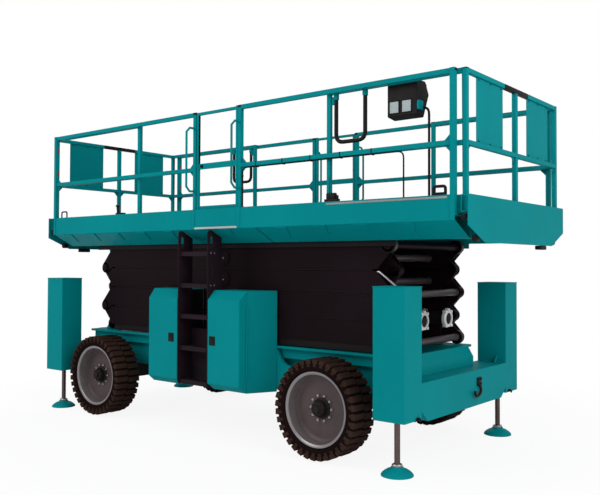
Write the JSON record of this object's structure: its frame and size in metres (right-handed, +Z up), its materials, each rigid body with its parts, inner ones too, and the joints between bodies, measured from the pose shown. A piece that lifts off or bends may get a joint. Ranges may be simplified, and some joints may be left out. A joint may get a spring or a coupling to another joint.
{
  "type": "rough terrain scissor lift",
  "caption": "Self-propelled rough terrain scissor lift with outriggers, a long guarded platform with two sliding extension decks, and a stowed scissor stack.",
  "frame": {"origin": "centre of the overall footprint at ground level", "axes": "+X forward along the machine towards the steered wheels, +Y across to its left side, +Z up"},
  "size_m": [5.68, 2.294, 3.2994],
  "materials": {
    "teal_paint": "gloss paint",
    "teal_door": "gloss paint, pressed sheet",
    "arm_paint": "black-brown satin paint",
    "ladder_paint": "charcoal satin paint",
    "rim_paint": "silver paint",
    "tyre_rubber": "dusty black rubber",
    "axle_paint": "dark satin paint",
    "rod_steel": "ground steel rod, painted pad",
    "cylinder_paint": "dark paint",
    "piston_chrome": "hard chrome",
    "box_black": "black housing",
    "unit_paint": "grey machinery paint",
    "cable_black": "black cable jacket"
  },
  "bodies": {
    "chassis": {"chassis_frame": "teal_paint", "front_end": "teal_paint", "rear_end": "teal_paint", "housings_near": "teal_paint", "housings_far": "teal_paint", "front_axle": "axle_paint", "rear_axle": "axle_paint", "ladder_near": "ladder_paint", "ladder_far": "ladder_paint", "equipment_near": "unit_paint", "equipment_far": "unit_paint"},
    "steering_near": {"steering_knuckle_near": "axle_paint"},
    "steering_far": {"steering_knuckle_far": "axle_paint"},
    "lift_barrels": {"lift_barrel_near": "cylinder_paint", "lift_barrel_far": "cylinder_paint"},
    "lift_rods": {"lift_rod_near": "piston_chrome", "lift_rod_far": "piston_chrome"},
    "platform": {"platform_deck": "teal_paint", "main_rail_near": "teal_paint", "main_rail_far": "teal_paint", "rail_cable": "cable_black"},
    "platform_gate_near": {"gate_near": "teal_paint"},
    "platform_gate_far": {"gate_far": "teal_paint"},
    "front_extension": {"extension_deck_front": "teal_paint", "extension_rail_front_near": "teal_paint", "extension_rail_front_far": "teal_paint", "end_rail_front": "teal_paint", "slide_grip_front": "box_black", "control_box": "box_black", "control_cable": "cable_black"},
    "rear_extension": {"extension_deck_rear": "teal_paint", "extension_rail_rear_near": "teal_paint", "extension_rail_rear_far": "teal_paint", "end_rail_rear": "teal_paint", "slide_grip_rear": "box_black"},
    "wheel_front_near": {"rim_front_near": "rim_paint", "tyre_front_near": "tyre_rubber"},
    "outrigger_front_near": {"outrigger_leg_front_near": "rod_steel"},
    "wheel_front_far": {"rim_front_far": "rim_paint", "tyre_front_far": "tyre_rubber"},
    "outrigger_front_far": {"outrigger_leg_front_far": "rod_steel"},
    "wheel_rear_near": {"rim_rear_near": "rim_paint", "tyre_rear_near": "tyre_rubber"},
    "outrigger_rear_near": {"outrigger_leg_rear_near": "rod_steel"},
    "wheel_rear_far": {"rim_rear_far": "rim_paint", "tyre_rear_far": "tyre_rubber"},
    "outrigger_rear_far": {"outrigger_leg_rear_far": "rod_steel"},
    "panel_near_front": {"door_near_front": "teal_door"},
    "panel_near_rear": {"door_near_rear": "teal_door"},
    "panel_far_front": {"door_far_front": "teal_door"},
    "panel_far_rear": {"door_far_rear": "teal_door"},
    "arms_1a": {"scissor_1a": "arm_paint"},
    "arms_1b": {"scissor_1b": "arm_paint"},
    "arms_2a": {"scissor_2a": "arm_paint"},
    "arms_2b": {"scissor_2b": "arm_paint"},
    "arms_3a": {"scissor_3a": "arm_paint"},
    "arms_3b": {"scissor_3b": "arm_paint"},
    "arms_4a": {"scissor_4a": "arm_paint"},
    "arms_4b": {"scissor_4b": "arm_paint"}
  },
  "joints": [
    {"name": "lift", "type": "hinge", "parent": "chassis", "child": "arms_1a", "pos_m": [-2.155, 0, 1.005], "axis": [0, -1, 0], "range_deg": [0, 50]},
    {"name": "fold_2b", "type": "hinge", "parent": "arms_1a", "child": "arms_2b", "pos_m": [1.89, 0, 1.233], "axis": [0, -1, 0], "range_deg": [-100, 0]},
    {"name": "fold_3a", "type": "hinge", "parent": "arms_2b", "child": "arms_3a", "pos_m": [-2.155, 0, 1.461], "axis": [0, -1, 0], "range_deg": [0, 100]},
    {"name": "fold_4b", "type": "hinge", "parent": "arms_3a", "child": "arms_4b", "pos_m": [1.89, 0, 1.689], "axis": [0, -1, 0], "range_deg": [-100, 0]},
    {"name": "level_platform", "type": "hinge", "parent": "arms_4b", "child": "platform", "pos_m": [-2.155, 0, 1.917], "axis": [0, -1, 0], "range_deg": [0, 50]},
    {"name": "fold_1b", "type": "hinge", "parent": "arms_1a", "child": "arms_1b", "pos_m": [-0.1325, 0, 1.119], "axis": [0, -1, 0], "range_deg": [-100, 0]},
    {"name": "fold_2a", "type": "hinge", "parent": "arms_2b", "child": "arms_2a", "pos_m": [-0.1325, 0, 1.347], "axis": [0, -1, 0], "range_deg": [0, 100]},
    {"name": "fold_3b", "type": "hinge", "parent": "arms_3a", "child": "arms_3b", "pos_m": [-0.1325, 0, 1.575], "axis": [0, -1, 0], "range_deg": [-100, 0]},
    {"name": "fold_4a", "type": "hinge", "parent": "arms_4b", "child": "arms_4a", "pos_m": [-0.1325, 0, 1.803], "axis": [0, -1, 0], "range_deg": [0, 100]},
    {"name": "lift_barrel_swing", "type": "hinge", "parent": "arms_1a", "child": "lift_barrels", "pos_m": [1.725, 0, 1.223], "axis": [0, -1, 0], "range_deg": [-106.4, 0]},
    {"name": "lift_rod_slide", "type": "slide", "parent": "lift_barrels", "child": "lift_rods", "axis": [-0.9998, 0, 0.0174], "range_m": [0, 0.1871]},
    {"name": "steer_near", "type": "hinge", "parent": "chassis", "child": "steering_near", "pos_m": [1.4, -0.745, 0.46], "axis": [0, 0, 1], "range_deg": [-28, 28]},
    {"name": "steer_far", "type": "hinge", "parent": "chassis", "child": "steering_far", "pos_m": [1.4, 0.745, 0.46], "axis": [0, 0, 1], "range_deg": [-28, 28]},
    {"name": "wheel_spin_front_near", "type": "hinge", "parent": "steering_near", "child": "wheel_front_near", "pos_m": [1.4, -0.965, 0.46], "axis": [0, 1, 0], "continuous": true},
    {"name": "wheel_spin_rear_near", "type": "hinge", "parent": "chassis", "child": "wheel_rear_near", "pos_m": [-1.78, -0.965, 0.46], "axis": [0, 1, 0], "continuous": true},
    {"name": "wheel_spin_front_far", "type": "hinge", "parent": "steering_far", "child": "wheel_front_far", "pos_m": [1.4, 0.965, 0.46], "axis": [0, 1, 0], "continuous": true},
    {"name": "wheel_spin_rear_far", "type": "hinge", "parent": "chassis", "child": "wheel_rear_far", "pos_m": [-1.78, 0.965, 0.46], "axis": [0, 1, 0], "continuous": true},
    {"name": "outrigger_slide_front_near", "type": "slide", "parent": "chassis", "child": "outrigger_front_near", "axis": [0, 0, -1], "range_m": [-0.25, 0.33]},
    {"name": "outrigger_slide_front_far", "type": "slide", "parent": "chassis", "child": "outrigger_front_far", "axis": [0, 0, -1], "range_m": [-0.25, 0.33]},
    {"name": "outrigger_slide_rear_near", "type": "slide", "parent": "chassis", "child": "outrigger_rear_near", "axis": [0, 0, -1], "range_m": [-0.25, 0.33]},
    {"name": "outrigger_slide_rear_far", "type": "slide", "parent": "chassis", "child": "outrigger_rear_far", "axis": [0, 0, -1], "range_m": [-0.25, 0.33]},
    {"name": "door_near_front_swing", "type": "hinge", "parent": "chassis", "child": "panel_near_front", "pos_m": [0.493, -0.9984, 0.98], "axis": [0, 0, 1], "range_deg": [0, 110]},
    {"name": "door_near_rear_swing", "type": "hinge", "parent": "chassis", "child": "panel_near_rear", "pos_m": [-0.883, -0.9984, 0.98], "axis": [0, 0, -1], "range_deg": [0, 110]},
    {"name": "door_far_front_swing", "type": "hinge", "parent": "chassis", "child": "panel_far_front", "pos_m": [0.493, 0.9984, 0.98], "axis": [0, 0, -1], "range_deg": [0, 110]},
    {"name": "door_far_rear_swing", "type": "hinge", "parent": "chassis", "child": "panel_far_rear", "pos_m": [-0.883, 0.9984, 0.98], "axis": [0, 0, 1], "range_deg": [0, 110]},
    {"name": "gate_near_swing", "type": "hinge", "parent": "platform", "child": "platform_gate_near", "pos_m": [0.363, -1.005, 2.7], "axis": [0, 0, -1], "range_deg": [0, 90]},
    {"name": "gate_far_swing", "type": "hinge", "parent": "platform", "child": "platform_gate_far", "pos_m": [-0.189, 1.005, 2.7], "axis": [0, 0, -1], "range_deg": [0, 90]},
    {"name": "front_extension_slide", "type": "slide", "parent": "platform", "child": "front_extension", "axis": [1, 0, 0], "range_m": [0, 1.15]},
    {"name": "rear_extension_slide", "type": "slide", "parent": "platform", "child": "rear_extension", "axis": [-1, 0, 0], "range_m": [0, 1.4]}
  ],
  "couplings": [
    {"joint": "fold_2b", "follows": "lift", "ratio": -2},
    {"joint": "fold_3a", "follows": "lift", "ratio": 2},
    {"joint": "fold_4b", "follows": "lift", "ratio": -2},
    {"joint": "level_platform", "follows": "lift", "ratio": 1},
    {"joint": "fold_1b", "follows": "lift", "ratio": -2},
    {"joint": "fold_2a", "follows": "lift", "ratio": 2},
    {"joint": "fold_3b", "follows": "lift", "ratio": -2},
    {"joint": "fold_4a", "follows": "lift", "ratio": 2},
    {"joint": "lift_barrel_swing", "follows": "lift", "ratio": -2.128},
    {"joint": "lift_rod_slide", "follows": "lift", "m_per_rad": 0.2142},
    {"joint": "steer_far", "follows": "steer_near", "ratio": 1}
  ]
}
